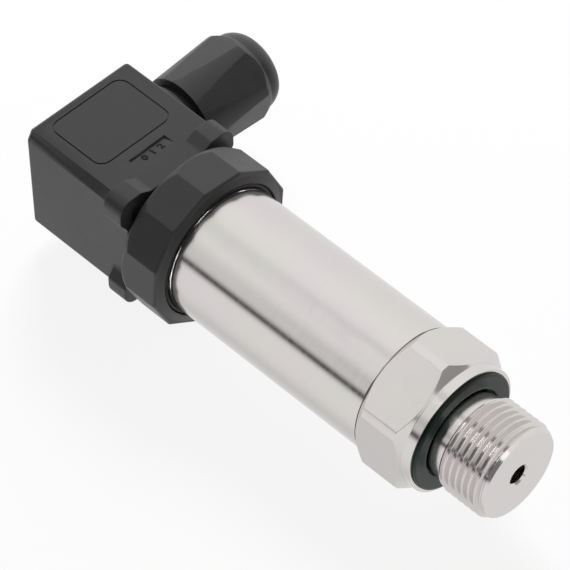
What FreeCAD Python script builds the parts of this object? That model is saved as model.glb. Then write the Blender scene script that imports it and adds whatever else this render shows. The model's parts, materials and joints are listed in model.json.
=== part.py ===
import FreeCAD, Part
import math
import os

# A pressure transmitter with a square angle plug, in millimetres.
# +X runs along the axis, out of the thread. +Y is the cable gland's direction, +Z is up.
# The origin is the centre of the sealing plane behind the thread.

Vec = FreeCAD.Vector
AXIS = Vec(1, 0, 0)
ORIGIN = Vec(0, 0, 0)

# Process connection: an M20 x 1.5 stud with a seal flange and a hexagon as wide as the tube
THREAD_R = 10.0
THREAD_PITCH = 1.5
THREAD_DEPTH = 0.92
THREAD_CREST = 0.19
THREAD_ROOT = 0.25
THREAD_FRONT = 14.25
THREAD_BACK = 3.5
THREAD_START_BEVEL = 0.75
FIRST_GROOVE = 1.1
TIP_BEVEL_LENGTH = 1.6
TIP_BEVEL_DROP = 0.9
NECK_R = 8.9
PORT_R = 2.0
PORT_COUNTERSINK = 0.35
FLANGE_R = 13.2
FLANGE_LENGTH = 2.0
FLANGE_RIM = 0.7
SEAL_GROOVE_DEPTH = 1.5
FRONT_CONE_LENGTH = 1.6
HEX_CORNER_PROUD = 1.6
HEX_CORNER_ANGLE = 32.0
HEX_LENGTH = 9.7
REAR_CONE_LENGTH = 1.8

# Seal in the flange's face
SEAL_CLEARANCE = 0.1
SEAL_INNER_CLEARANCE = 0.45
SEAL_PROUD = 0.6
SEAL_CROWN = 0.35

# Steel tube and the spigots at its two ends
TUBE_R = 13.5
TUBE_WALL = 1.2
TUBE_VISIBLE = 48.4
TUBE_IN_NUT = 5.3
SPIGOT_CLEARANCE = 0.05
SPIGOT_LENGTH = 4.0

# Ceramic measuring cell, its face seal and its retainer
CHAMBER_WALL = 3.15
CELL_THICK = 6.35
CELL_CLEARANCE = 0.1
CELL_FRONT_DEPTH = 6.2
CELL_DISH_R = 4.0
CELL_DISH_DEPTH = 0.4
CELL_SEAL_FROM_EDGE = 3.3
CELL_SEAL_CORD_R = 0.8
RETAINER_THICK = 3.0
RETAINER_BORE_R = 6.0
RETAINER_SLOT_WIDTH = 2.0
RETAINER_SLOT_DEPTH = 1.2
LEAD_R = 0.45
SENSOR_LEAD_PITCH = 2.54
SENSOR_LEAD_OVERLAP = 3.0

# Electronics
SLEEVE_CLEARANCE = 0.05
SLEEVE_WALL = 0.4
SLEEVE_END_GAP = 0.3
BOARD_LENGTH = 34.0
BOARD_THICK = 1.6
BOARD_EDGE_CLEARANCE = 0.1
BOARD_FRONT_GAP = 3.5
CHIP_FROM_FRONT = 5.0
CHIP_LENGTH = 8.6
CHIP_WIDTH = 5.4
CHIP_HEIGHT = 1.6
SMALL_CHIP_FROM_FRONT = 16.5
SMALL_CHIP_LENGTH = 5.0
SMALL_CHIP_WIDTH = 4.0
SMALL_CHIP_Y = 4.3
CAN_R = 2.0
CAN_HEIGHT = 5.4
CAN_Y = 6.5
CAN_FROM_BACK = 7.5
COIL_R = 3.0
COIL_HEIGHT = 3.0
OUTPUT_LEAD_OVERLAP = 4.0
OUTPUT_LEAD_RISE = 4.0

# 12-sided nut, its O-ring, and the connector base that it clamps
NUT_SIDES = 12
NUT_WALL = 2.29
NUT_CORNER_ANGLE = 10.0
NUT_LENGTH = 9.2
NUT_FRONT_BEVEL = 0.35
NUT_REAR_BEVEL_LENGTH = 1.6
NUT_REAR_BEVEL_DROP = 0.75
NUT_FACE_RISE = 0.5
NUT_FACE_INSET = 0.3
NUT_MOUTH_DEPTH = 1.3
NUT_MOUTH_GAP = 0.95
NUT_MOUTH_BEVEL = 0.15
NUT_LIP = 2.1
NUT_CLEARANCE = 0.1
NUT_RING_CORD_R = 0.45
NUT_RING_INSET = 0.2
BASE_FLANGE_THICK = 1.8
BASE_FLANGE_GAP = 0.2
BASE_NECK_STEP = 2.0
BASE_SPIGOT_LENGTH = 5.0
BASE_CUP_WALL = 0.4
BASE_CUP_DEPTH = 3.5
BASE_RING_CORD_R = 0.8
BASE_RING_FROM_FLANGE = 2.4
PAD_MARGIN = 2.0
PAD_CORNER_R = 2.0
PAD_BACK_BEHIND_NUT = 5.7
PAD_THICK = 3.6
GASKET_THICK = 1.2
GASKET_MARGIN = 0.1

# Flat contact blades, 6.3 x 0.8, 18 mm apart across the axis
CONTACT_OFFSET = 9.0
BLADE_WIDTH = 6.3
BLADE_THICK = 0.8
BLADE_OUT = 10.5
BLADE_TIP_BEVEL = 0.9
BLADE_TAIL_OUT = 1.5
EARTH_BLADE_EXTRA = 1.0
SOCKET_CLEARANCE = 0.08
SOCKET_THICK = 1.8
SOCKET_WIDTH = 7.6
SOCKET_SET_BACK = 1.2
SOCKET_LENGTH = 10.6
CLAMP_LENGTH = 3.4
CLAMP_DEPTH = 5.2
CLAMP_SCREW_R = 1.3
CLAMP_HEAD_R = 2.1
CLAMP_HEAD_THICK = 1.5
CLAMP_SCREW_INSET = 3.0
SCREW_SLOT_WIDTH = 0.6
SCREW_SLOT_DEPTH = 0.8

# Plug housing
BODY_BEVEL_Y = 1.25
BODY_BEVEL_Z = 2.2
BODY_EDGE_R = 0.5
BODY_LOWER_EDGE_R = 1.5
BODY_BACK_EDGE_R = 1.0
HOUSING_WALL_Y = 2.3
HOUSING_WALL_Z = 2.05
HOUSING_BACK_WALL = 2.0
SKIRT_GAP = 1.7
SKIRT_LENGTH = 4.7
SKIRT_PROUD_Y = 1.63
SKIRT_PROUD_Z = 1.28
SKIRT_CORNER_R = 3.0
SKIRT_FLUSH_HALF = 6.6
SKIRT_SLOPE = 2.4
SKIRT_SLOPE_R = 2.0
SKIRT_CAVITY_CLEARANCE = 0.3
BLOCK_WALL = 0.67
BLOCK_CLEARANCE = 0.1
WIRE_ROOM = 1.25

# Imprint line and date window on the top face
IMPRINT_BACK_INSET = 2.15
IMPRINT_LENGTH = 14.9
IMPRINT_WIDTH = 18.8
IMPRINT_OFFSET_Y = 0.1
IMPRINT_CORNER_R = 2.5
IMPRINT_LINE = 0.3
IMPRINT_DEPTH = 0.2
WINDOW_FROM_SKIRT = 1.3
WINDOW_LENGTH = 2.55
WINDOW_WIDTH = 9.2
WINDOW_OFFSET_Y = 0.2
WINDOW_DEPTH = 0.5

# Central fixing screw, M3
SCREW_R = 1.5
SCREW_CLEARANCE = 0.05
SCREW_BLOCK_CLEARANCE = 0.3
SCREW_HEAD_R = 2.8
SCREW_HEAD_THICK = 2.2
SCREW_HEAD_INSET = 0.2
SCREW_RECESS_R = 3.7
SCREW_ENGAGED = 7.2
SCREW_TIP_BEVEL = 0.4
SCREW_HOLE_SPARE = 0.8
WASHER_R = 3.3
WASHER_THICK = 0.6
SCREW_BOSS_WALL = 1.6
SCREW_BOSS_FLOOR = 1.6

# Cable gland, on an axis along +Y
GLAND_FROM_BACK = 9.15
GLAND_BOSS_R = 8.4
GLAND_BOSS_LENGTH = 3.2
GLAND_NECK_R = 7.0
GLAND_NECK_LENGTH = 9.0
GLAND_BORE_R = 5.2
GROMMET_CLEARANCE = 0.05
GROMMET_PROUD = 2.8
GROMMET_LENGTH = 8.8
CABLE_R = 3.0
SLIP_RING_THICK = 0.8
SLIP_RING_BORE_R = 3.4
CAP_GAP = 1.8
CAP_CLEARANCE = 0.08
CAP_FLATS = 17.4
CAP_CORNER_ANGLE = 18.7
CAP_REAR_R = 8.73
CAP_FRONT_R = 9.5
CAP_GRIP_LENGTH = 15.0
CAP_SHOULDER = 1.5
CAP_DOME_R = 8.5
CAP_DOME_LENGTH = 3.8
CAP_DOME_MID_SHARE = 0.5
CAP_DOME_MID_R = 7.95
CAP_FRONT_RIM_R = 6.3
CAP_MOUTH_R = 5.4
CAP_MOUTH_BEVEL = 0.4

# Places along the axis, worked out from the sizes above
HEX_FLATS = 2 * TUBE_R
HEX_TURNED_R = TUBE_R + HEX_CORNER_PROUD
FLANGE_BACK = -FLANGE_LENGTH
HEX_FRONT = FLANGE_BACK - FRONT_CONE_LENGTH
HEX_BACK = HEX_FRONT - HEX_LENGTH
SPIGOT_BACK = HEX_BACK - SPIGOT_LENGTH
TUBE_BORE_R = TUBE_R - TUBE_WALL
SPIGOT_R = TUBE_BORE_R - SPIGOT_CLEARANCE
CHAMBER_R = SPIGOT_R - CHAMBER_WALL
CELL_R = CHAMBER_R - CELL_CLEARANCE
CELL_SEAL_MID_R = CELL_R - CELL_SEAL_FROM_EDGE
CELL_FRONT = -CELL_FRONT_DEPTH
CELL_BACK = CELL_FRONT - CELL_THICK
RETAINER_BACK = CELL_BACK - RETAINER_THICK
NUT_FRONT = HEX_BACK - TUBE_VISIBLE
NUT_BACK = NUT_FRONT - NUT_LENGTH
NUT_FACE = NUT_FRONT + NUT_FACE_RISE
NUT_BORE_R = TUBE_R + NUT_CLEARANCE
NUT_MOUTH_R = TUBE_R + NUT_MOUTH_GAP
NUT_CORNER_R = (NUT_MOUTH_R + NUT_WALL) / math.cos(math.pi / NUT_SIDES)
TUBE_BACK = NUT_FRONT - TUBE_IN_NUT
BASE_FLANGE_BACK = TUBE_BACK - BASE_FLANGE_THICK
BASE_FLANGE_R = TUBE_R - BASE_FLANGE_GAP
BASE_NECK_R = BASE_FLANGE_R - BASE_NECK_STEP
BASE_GROOVE_R = TUBE_BORE_R - 2 * BASE_RING_CORD_R
BASE_CUP_R = BASE_GROOVE_R - BASE_CUP_WALL
BASE_FRONT = TUBE_BACK + BASE_SPIGOT_LENGTH
BASE_CUP_FLOOR = BASE_FRONT - BASE_CUP_DEPTH
PAD_HALF = CONTACT_OFFSET + BLADE_THICK / 2 + PAD_MARGIN
PAD_BACK = NUT_BACK - PAD_BACK_BEHIND_NUT
PAD_FRONT = PAD_BACK + PAD_THICK
GASKET_HALF = PAD_HALF + GASKET_MARGIN
GASKET_BACK = PAD_BACK - GASKET_THICK
BLADE_BACK = PAD_BACK - BLADE_OUT
BLADE_FRONT = BASE_CUP_FLOOR + BLADE_TAIL_OUT
SLEEVE_R = TUBE_BORE_R - SLEEVE_CLEARANCE
SLEEVE_BORE_R = SLEEVE_R - SLEEVE_WALL
SLEEVE_FRONT = SPIGOT_BACK - SLEEVE_END_GAP
SLEEVE_BACK = BASE_FRONT + SLEEVE_END_GAP
BOARD_FRONT = SPIGOT_BACK - BOARD_FRONT_GAP
BOARD_BACK = BOARD_FRONT - BOARD_LENGTH
BOARD_TOP = BOARD_THICK / 2
SKIRT_FRONT = NUT_BACK - SKIRT_GAP
SKIRT_BACK = SKIRT_FRONT - SKIRT_LENGTH
SKIRT_CAVITY_HALF = PAD_HALF + SKIRT_CAVITY_CLEARANCE
SOCKET_FRONT = GASKET_BACK - SOCKET_SET_BACK
SOCKET_BACK = SOCKET_FRONT - SOCKET_LENGTH
CLAMP_BACK = SOCKET_BACK - CLAMP_LENGTH
BLOCK_BACK = CLAMP_BACK - CLAMP_HEAD_THICK
BLOCK_HALF = CONTACT_OFFSET + SOCKET_THICK / 2 + BLOCK_WALL
CAVITY_HALF = BLOCK_HALF + BLOCK_CLEARANCE
SCREW_BOSS_FRONT = BLOCK_BACK - WIRE_ROOM
WASHER_FRONT = SCREW_BOSS_FRONT - SCREW_BOSS_FLOOR
SCREW_HEAD_FRONT = WASHER_FRONT - WASHER_THICK
SCREW_HEAD_BACK = SCREW_HEAD_FRONT - SCREW_HEAD_THICK
BODY_BACK = SCREW_HEAD_BACK - SCREW_HEAD_INSET
BODY_HALF_Y = CAVITY_HALF + HOUSING_WALL_Y
BODY_HALF_Z = CAVITY_HALF + HOUSING_WALL_Z
CAVITY_BACK = BODY_BACK + HOUSING_BACK_WALL
SKIRT_HALF_Y = BODY_HALF_Y + SKIRT_PROUD_Y
SKIRT_HALF_Z = BODY_HALF_Z + SKIRT_PROUD_Z
WINDOW_FRONT = SKIRT_BACK - WINDOW_FROM_SKIRT
WINDOW_BACK = WINDOW_FRONT - WINDOW_LENGTH
GLAND_X = BODY_BACK + GLAND_FROM_BACK
SCREW_TIP = PAD_BACK + SCREW_ENGAGED
BOSS_TOP = BODY_HALF_Y + GLAND_BOSS_LENGTH
NECK_TOP = BOSS_TOP + GLAND_NECK_LENGTH
CAP_REAR = BOSS_TOP + CAP_GAP
CAP_GRIP_TOP = CAP_REAR + CAP_GRIP_LENGTH
DOME_START = CAP_GRIP_TOP + CAP_SHOULDER
CAP_TOP = DOME_START + CAP_DOME_LENGTH
GROMMET_TOP = NECK_TOP + GROMMET_PROUD
SLIP_RING_TOP = GROMMET_TOP + SLIP_RING_THICK


def closed_face(steps):
    """A flat face in the XY plane. A step is a point, or a pair (middle point, end point) for an arc."""
    here = Vec(steps[0][0], steps[0][1], 0)
    edges = []
    for step in steps[1:] + [steps[0]]:
        if isinstance(step[0], tuple):
            middle = Vec(step[0][0], step[0][1], 0)
            there = Vec(step[1][0], step[1][1], 0)
            edges.append(Part.Arc(here, middle, there).toShape())
        else:
            there = Vec(step[0], step[1], 0)
            edges.append(Part.LineSegment(here, there).toShape())
        here = there
    return Part.Face(Part.Wire(edges))


def turned(steps):
    """A solid of revolution about the X axis, from an outline of (x, radius) steps."""
    return closed_face(steps).revolve(ORIGIN, AXIS, 360)


def ring(x_low, x_high, inner_r, outer_r):
    """A plain ring about the X axis."""
    return turned([(x_low, inner_r), (x_high, inner_r), (x_high, outer_r), (x_low, outer_r)])


def rod(x_low, x_high, radius, y=0.0, z=0.0):
    """A plain cylinder along X."""
    return Part.makeCylinder(radius, x_high - x_low, Vec(x_low, y, z), AXIS)


def box(x_span, y_span, z_span):
    """A plain box between the low and high limits on each axis."""
    size = [span[1] - span[0] for span in (x_span, y_span, z_span)]
    return Part.makeBox(*size, Vec(x_span[0], y_span[0], z_span[0]))


def corner_points(sides, corner_r, x, corner_angle):
    """The corners of a regular polygon across the X axis."""
    angles = [math.radians(corner_angle + 360.0 * k / sides) for k in range(sides)]
    points = [Vec(x, corner_r * math.cos(a), corner_r * math.sin(a)) for a in angles]
    return points + [points[0]]


def prism(sides, corner_r, x_low, x_high, corner_angle):
    """A regular prism about the X axis."""
    face = Part.Face(Part.makePolygon(corner_points(sides, corner_r, x_low, corner_angle)))
    return face.extrude(Vec(x_high - x_low, 0, 0))


def rounded_prism(corners, x_low, x_high):
    """A prism along X from (y, z, radius) corners, each rounded to its radius."""
    count = len(corners)
    edges = []
    last = None
    first = None
    for k in range(count):
        before = Vec(0, corners[k - 1][0], corners[k - 1][1])
        here = Vec(0, corners[k][0], corners[k][1])
        after = Vec(0, corners[(k + 1) % count][0], corners[(k + 1) % count][1])
        to_before = (before - here).normalize()
        to_after = (after - here).normalize()
        half = to_before.getAngle(to_after) / 2
        radius = corners[k][2]
        reach = radius / math.tan(half)
        start = here + to_before * reach
        end = here + to_after * reach
        if last is not None:
            edges.append(Part.LineSegment(last, start).toShape())
        if first is None:
            first = start
        if radius > 0:
            inward = (to_before + to_after).normalize()
            middle = here + inward * (radius / math.sin(half) - radius)
            edges.append(Part.Arc(start, middle, end).toShape())
        last = end
    edges.append(Part.LineSegment(last, first).toShape())
    face = Part.Face(Part.Wire(edges))
    solid = face.extrude(Vec(x_high - x_low, 0, 0))
    solid.translate(Vec(x_low, 0, 0))
    return solid


def rounded_box(x_low, x_high, half_y, half_z, radius):
    """A box about the X axis with its four long edges rounded."""
    signs = ((1, 1), (-1, 1), (-1, -1), (1, -1))
    corners = [(side_y * half_y, side_z * half_z, radius) for side_y, side_z in signs]
    return rounded_prism(corners, x_low, x_high)


def ring_cord(x, middle_r, cord_r):
    """An O-ring about the X axis."""
    return Part.makeTorus(middle_r, cord_r, Vec(x, 0, 0), AXIS)


def wire_along(points, radius):
    """A round lead through the points, with a ball at each bend."""
    shape = None
    for start, end in zip(points, points[1:]):
        run = end - start
        piece = Part.makeCylinder(radius, run.Length, start, run)
        shape = piece if shape is None else shape.fuse(piece)
    for bend in points[1:-1]:
        shape = shape.fuse(Part.makeSphere(radius, bend))
    return shape.removeSplitter()


def at_contact(shape, quarter):
    """Turns a shape made at the +Y contact to its own quarter of the plug."""
    turned_shape = shape.copy()
    turned_shape.rotate(ORIGIN, AXIS, 90.0 * quarter)
    return turned_shape


def on_gland(shape):
    """Moves a shape made about the X axis on to the gland's axis, with its x as y."""
    moved = shape.copy()
    moved.rotate(ORIGIN, Vec(0, 0, 1), 90.0)
    moved.translate(Vec(GLAND_X, 0, 0))
    return moved


def edges_at_x(shape, x):
    """The edges that lie wholly in the plane at x."""
    return [e for e in shape.Edges if abs(e.BoundBox.XMin - x) < 1e-4 and abs(e.BoundBox.XMax - x) < 1e-4]


# Steel body

def thread_grooves():
    """Rings with the section of the thread's grooves, from the tip back to the thread's start."""
    low_r = THREAD_R - THREAD_DEPTH
    outside_r = THREAD_R + THREAD_DEPTH
    wide = (THREAD_PITCH - THREAD_CREST) / 2
    narrow = THREAD_ROOT / 2
    count = int((THREAD_FRONT - FIRST_GROOVE - THREAD_BACK) / THREAD_PITCH) + 1
    grooves = []
    for k in range(count):
        x = THREAD_FRONT - FIRST_GROOVE - k * THREAD_PITCH
        grooves.append(turned([
            (x - narrow, low_r),
            (x + narrow, low_r),
            (x + wide, THREAD_R),
            (x + wide, outside_r),
            (x - wide, outside_r),
            (x - wide, THREAD_R),
        ]))
    return grooves


def process_connection():
    """Threaded stud, seal flange, hexagon, spigot and cell chamber, with the pressure port through it."""
    seal_groove_r = FLANGE_R - FLANGE_RIM
    thread_tip = THREAD_FRONT - TIP_BEVEL_LENGTH
    seal_inner = CELL_SEAL_MID_R - CELL_SEAL_CORD_R
    seal_outer = CELL_SEAL_MID_R + CELL_SEAL_CORD_R
    seal_floor = CELL_FRONT + 2 * CELL_SEAL_CORD_R
    body = turned([
        (THREAD_FRONT, PORT_R + PORT_COUNTERSINK),
        (THREAD_FRONT, THREAD_R - TIP_BEVEL_DROP),
        (thread_tip, THREAD_R),
        (THREAD_BACK + THREAD_START_BEVEL, THREAD_R),
        (THREAD_BACK, THREAD_R - THREAD_START_BEVEL),
        (THREAD_BACK, NECK_R),
        (-SEAL_GROOVE_DEPTH, NECK_R),
        (-SEAL_GROOVE_DEPTH, seal_groove_r),
        (0, seal_groove_r),
        (0, FLANGE_R),
        (FLANGE_BACK, FLANGE_R),
        (HEX_FRONT, HEX_TURNED_R),
        (HEX_BACK + REAR_CONE_LENGTH, HEX_TURNED_R),
        (HEX_BACK, TUBE_R),
        (HEX_BACK, SPIGOT_R),
        (SPIGOT_BACK, SPIGOT_R),
        (SPIGOT_BACK, CHAMBER_R),
        (CELL_FRONT, CHAMBER_R),
        (CELL_FRONT, seal_outer),
        (seal_floor, seal_outer),
        (seal_floor, seal_inner),
        (CELL_FRONT, seal_inner),
        (CELL_FRONT, PORT_R),
        (THREAD_FRONT - PORT_COUNTERSINK, PORT_R),
    ])
    around = rod(HEX_BACK, FLANGE_BACK, 2 * HEX_TURNED_R)
    corner_r = HEX_FLATS / 2 / math.cos(math.pi / 6)
    hexagon = prism(6, corner_r, HEX_BACK, FLANGE_BACK, HEX_CORNER_ANGLE)
    return body.cut(around.cut(hexagon)).cut(thread_grooves())


def profile_seal():
    """Rubber seal with a crowned face, standing a little proud of the flange."""
    inner = NECK_R + SEAL_INNER_CLEARANCE
    outer = FLANGE_R - FLANGE_RIM - SEAL_CLEARANCE
    middle = (inner + outer) / 2
    shoulder = SEAL_PROUD - SEAL_CROWN
    return turned([
        (-SEAL_GROOVE_DEPTH, inner),
        (-SEAL_GROOVE_DEPTH, outer),
        (shoulder, outer),
        ((SEAL_PROUD, middle), (shoulder, inner)),
    ])


def sensor_o_ring():
    """Face seal between the cell and the chamber's floor."""
    return ring_cord(CELL_FRONT + CELL_SEAL_CORD_R, CELL_SEAL_MID_R, CELL_SEAL_CORD_R)


def sensor_capsule():
    """Ceramic cell, dished over the pressure port."""
    return turned([
        (CELL_BACK, 0),
        (CELL_BACK, CELL_R),
        (CELL_FRONT, CELL_R),
        (CELL_FRONT, CELL_DISH_R),
        (CELL_FRONT - CELL_DISH_DEPTH, CELL_DISH_R),
        (CELL_FRONT - CELL_DISH_DEPTH, 0),
    ])


def capsule_retainer():
    """Threaded ring that holds the cell down, with two spanner slots in its back."""
    body = ring(RETAINER_BACK, CELL_BACK, RETAINER_BORE_R, CHAMBER_R)
    half = RETAINER_SLOT_WIDTH / 2
    floor = RETAINER_BACK + RETAINER_SLOT_DEPTH
    return body.cut(box((RETAINER_BACK, floor), (-CHAMBER_R, CHAMBER_R), (-half, half)))


def sensor_leads():
    """Four leads from the cell's back to the top of the board."""
    z = BOARD_TOP + LEAD_R
    end = BOARD_FRONT - SENSOR_LEAD_OVERLAP
    places = [SENSOR_LEAD_PITCH * (k - 1.5) for k in range(4)]
    return Part.makeCompound([rod(end, CELL_BACK, LEAD_R, y, z) for y in places])


def housing_tube():
    """Plain steel tube, from the hexagon into the nut."""
    return ring(TUBE_BACK, HEX_BACK, TUBE_BORE_R, TUBE_R)


# Electronics

def insulating_sleeve():
    """Thin plastic sleeve between the board and the tube."""
    return ring(SLEEVE_BACK, SLEEVE_FRONT, SLEEVE_BORE_R, SLEEVE_R)


def board_half_width():
    """The board's edges lie in the sleeve."""
    return math.sqrt(SLEEVE_BORE_R ** 2 - BOARD_TOP ** 2) - BOARD_EDGE_CLEARANCE


def amplifier_board():
    """Circuit board along the axis."""
    half = board_half_width()
    return box((BOARD_BACK, BOARD_FRONT), (-half, half), (-BOARD_TOP, BOARD_TOP))


def board_components():
    """Three chips near the board's front, and two capacitors and a coil near its back."""
    parts = []
    chips = [(CHIP_FROM_FRONT, 0.0, CHIP_LENGTH, CHIP_WIDTH)]
    for side in (-1, 1):
        chips.append((SMALL_CHIP_FROM_FRONT, side * SMALL_CHIP_Y, SMALL_CHIP_LENGTH, SMALL_CHIP_WIDTH))
    for from_front, y, length, width in chips:
        x_high = BOARD_FRONT - from_front
        y_span = (y - width / 2, y + width / 2)
        parts.append(box((x_high - length, x_high), y_span, (BOARD_TOP, BOARD_TOP + CHIP_HEIGHT)))
    x = BOARD_BACK + CAN_FROM_BACK
    for side in (-1, 1):
        parts.append(Part.makeCylinder(CAN_R, CAN_HEIGHT, Vec(x, side * CAN_Y, BOARD_TOP), Vec(0, 0, 1)))
    parts.append(Part.makeCylinder(COIL_R, COIL_HEIGHT, Vec(x, 0, -BOARD_TOP), Vec(0, 0, -1)))
    return Part.makeCompound(parts)


def output_leads():
    """Four leads from the board's back end to the inner faces of the blades' tails."""
    start_x = BOARD_BACK + OUTPUT_LEAD_OVERLAP
    reach = CONTACT_OFFSET - BLADE_THICK / 2 - LEAD_R
    low = BOARD_TOP + LEAD_R
    leads = [rod(BASE_CUP_FLOOR, start_x, LEAD_R, side * reach, low) for side in (-1, 1)]
    for side in (-1, 1):
        points = [
            Vec(start_x, 0, side * low),
            Vec(BOARD_BACK, 0, side * low),
            Vec(BOARD_BACK - OUTPUT_LEAD_RISE, 0, side * reach),
            Vec(BASE_CUP_FLOOR, 0, side * reach),
        ]
        leads.append(wire_along(points, LEAD_R))
    return Part.makeCompound(leads)


# Connector base, blades and nut

def blade(extra=0.0):
    """One flat contact blade at the +Y place, bevelled at its tip."""
    back = BLADE_BACK - extra
    low = CONTACT_OFFSET - BLADE_THICK / 2
    half = BLADE_WIDTH / 2
    corners = [
        Vec(BLADE_FRONT, low, -half),
        Vec(BLADE_FRONT, low, half),
        Vec(back + BLADE_TIP_BEVEL, low, half),
        Vec(back, low, half - BLADE_TIP_BEVEL),
        Vec(back, low, -half + BLADE_TIP_BEVEL),
        Vec(back + BLADE_TIP_BEVEL, low, -half),
    ]
    face = Part.Face(Part.makePolygon(corners + [corners[0]]))
    return face.extrude(Vec(0, BLADE_THICK, 0))


def connector_base():
    """Moulded base: spigot in the tube, flange under the nut's lip, neck, and the square pad."""
    groove_x = TUBE_BACK + BASE_RING_FROM_FLANGE
    body = turned([
        (BASE_FRONT, BASE_CUP_R),
        (BASE_FRONT, SPIGOT_R),
        (groove_x + BASE_RING_CORD_R, SPIGOT_R),
        (groove_x + BASE_RING_CORD_R, BASE_GROOVE_R),
        (groove_x - BASE_RING_CORD_R, BASE_GROOVE_R),
        (groove_x - BASE_RING_CORD_R, SPIGOT_R),
        (TUBE_BACK, SPIGOT_R),
        (TUBE_BACK, BASE_FLANGE_R),
        (BASE_FLANGE_BACK, BASE_FLANGE_R),
        (BASE_FLANGE_BACK, BASE_NECK_R),
        (PAD_FRONT, BASE_NECK_R),
        (PAD_FRONT, 0),
        (BASE_CUP_FLOOR, 0),
        (BASE_CUP_FLOOR, BASE_CUP_R),
    ])
    pad = rounded_box(PAD_BACK, PAD_FRONT, PAD_HALF, PAD_HALF, PAD_CORNER_R)
    body = body.fuse(pad).removeSplitter()
    hole_end = SCREW_TIP + SCREW_HOLE_SPARE
    body = body.cut(rod(PAD_BACK, hole_end, SCREW_R + SCREW_CLEARANCE))
    for quarter in range(4):
        body = body.cut(at_contact(blade(), quarter))
    return body


def base_o_ring():
    """Seals the base's spigot in the tube."""
    return ring_cord(TUBE_BACK + BASE_RING_FROM_FLANGE, TUBE_BORE_R - BASE_RING_CORD_R, BASE_RING_CORD_R)


def union_nut():
    """12-sided nut with a low cone round its mouth, a bore on the tube and a lip behind the base."""
    main = prism(NUT_SIDES, NUT_CORNER_R, NUT_BACK, NUT_FRONT - NUT_FRONT_BEVEL, NUT_CORNER_ANGLE)
    large = corner_points(NUT_SIDES, NUT_CORNER_R, NUT_FRONT - NUT_FRONT_BEVEL, NUT_CORNER_ANGLE)
    small = corner_points(NUT_SIDES, NUT_CORNER_R - NUT_FRONT_BEVEL, NUT_FRONT, NUT_CORNER_ANGLE)
    front = Part.makeLoft([Part.makePolygon(large), Part.makePolygon(small)], True, True)
    outside = main.fuse(front).removeSplitter()
    envelope = turned([
        (NUT_BACK, 0),
        (NUT_BACK, NUT_CORNER_R - NUT_REAR_BEVEL_DROP),
        (NUT_BACK + NUT_REAR_BEVEL_LENGTH, NUT_CORNER_R),
        (NUT_FRONT, NUT_CORNER_R),
        (NUT_FRONT, 0),
    ])
    inscribed_r = (NUT_CORNER_R - NUT_FRONT_BEVEL) * math.cos(math.pi / NUT_SIDES)
    face = turned([
        (NUT_FRONT, 0),
        (NUT_FRONT, inscribed_r - NUT_FACE_INSET),
        (NUT_FACE, NUT_MOUTH_R + NUT_MOUTH_BEVEL),
        (NUT_FACE, 0),
    ])
    bore = turned([
        (NUT_FACE, 0),
        (NUT_FACE, NUT_MOUTH_R + NUT_MOUTH_BEVEL),
        (NUT_FACE - NUT_MOUTH_BEVEL, NUT_MOUTH_R),
        (NUT_FACE - NUT_MOUTH_DEPTH, NUT_MOUTH_R),
        (NUT_FACE - NUT_MOUTH_DEPTH, NUT_BORE_R),
        (NUT_BACK + NUT_LIP, NUT_BORE_R),
        (NUT_BACK + NUT_LIP, BASE_NECK_R + NUT_CLEARANCE),
        (NUT_BACK, BASE_NECK_R + NUT_CLEARANCE),
        (NUT_BACK, 0),
    ])
    return outside.common(envelope).fuse(face).cut(bore)


def nut_o_ring():
    """O-ring round the tube, just inside the nut's mouth."""
    x = NUT_FACE - NUT_RING_INSET - NUT_RING_CORD_R
    return ring_cord(x, TUBE_R + NUT_RING_CORD_R, NUT_RING_CORD_R)


# Plug

def plug_gasket():
    """Flat square gasket with slots for the blades and a hole for the screw."""
    sheet = rounded_box(GASKET_BACK, PAD_BACK, GASKET_HALF, GASKET_HALF, PAD_CORNER_R)
    sheet = sheet.cut(rod(GASKET_BACK, PAD_BACK, SCREW_R + SCREW_BLOCK_CLEARANCE))
    low = CONTACT_OFFSET - BLADE_THICK / 2 - SCREW_BLOCK_CLEARANCE
    high = CONTACT_OFFSET + BLADE_THICK / 2 + SCREW_BLOCK_CLEARANCE
    half = BLADE_WIDTH / 2 + SCREW_BLOCK_CLEARANCE
    slot = box((GASKET_BACK, PAD_BACK), (low, high), (-half, half))
    for quarter in range(4):
        sheet = sheet.cut(at_contact(slot, quarter))
    return sheet


def skirt_corners():
    """The skirt's outline: flush with the body at mid-side, standing out in an ear at each corner."""
    flush = SKIRT_FLUSH_HALF
    full = SKIRT_FLUSH_HALF + SKIRT_SLOPE
    slope_r = SKIRT_SLOPE_R
    quarter = [
        (BODY_HALF_Y, flush, slope_r),
        (SKIRT_HALF_Y, full, slope_r / 2),
        (SKIRT_HALF_Y, SKIRT_HALF_Z, SKIRT_CORNER_R),
        (full, SKIRT_HALF_Z, slope_r / 2),
        (flush, BODY_HALF_Z, slope_r),
    ]
    corners = []
    for side_y, side_z in ((1, 1), (-1, 1), (-1, -1), (1, -1)):
        points = quarter if side_y * side_z > 0 else quarter[::-1]
        corners += [(side_y * y, side_z * z, r) for y, z, r in points]
    return corners


def body_corners():
    """The body's section: one edge bevelled, one crisp, and the lower ones rounder."""
    return [
        (BODY_HALF_Y, BODY_HALF_Z, BODY_EDGE_R),
        (-BODY_HALF_Y + BODY_BEVEL_Y, BODY_HALF_Z, 0),
        (-BODY_HALF_Y, BODY_HALF_Z - BODY_BEVEL_Z, 0),
        (-BODY_HALF_Y, -BODY_HALF_Z, BODY_LOWER_EDGE_R),
        (BODY_HALF_Y, -BODY_HALF_Z, BODY_LOWER_EDGE_R),
    ]


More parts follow.
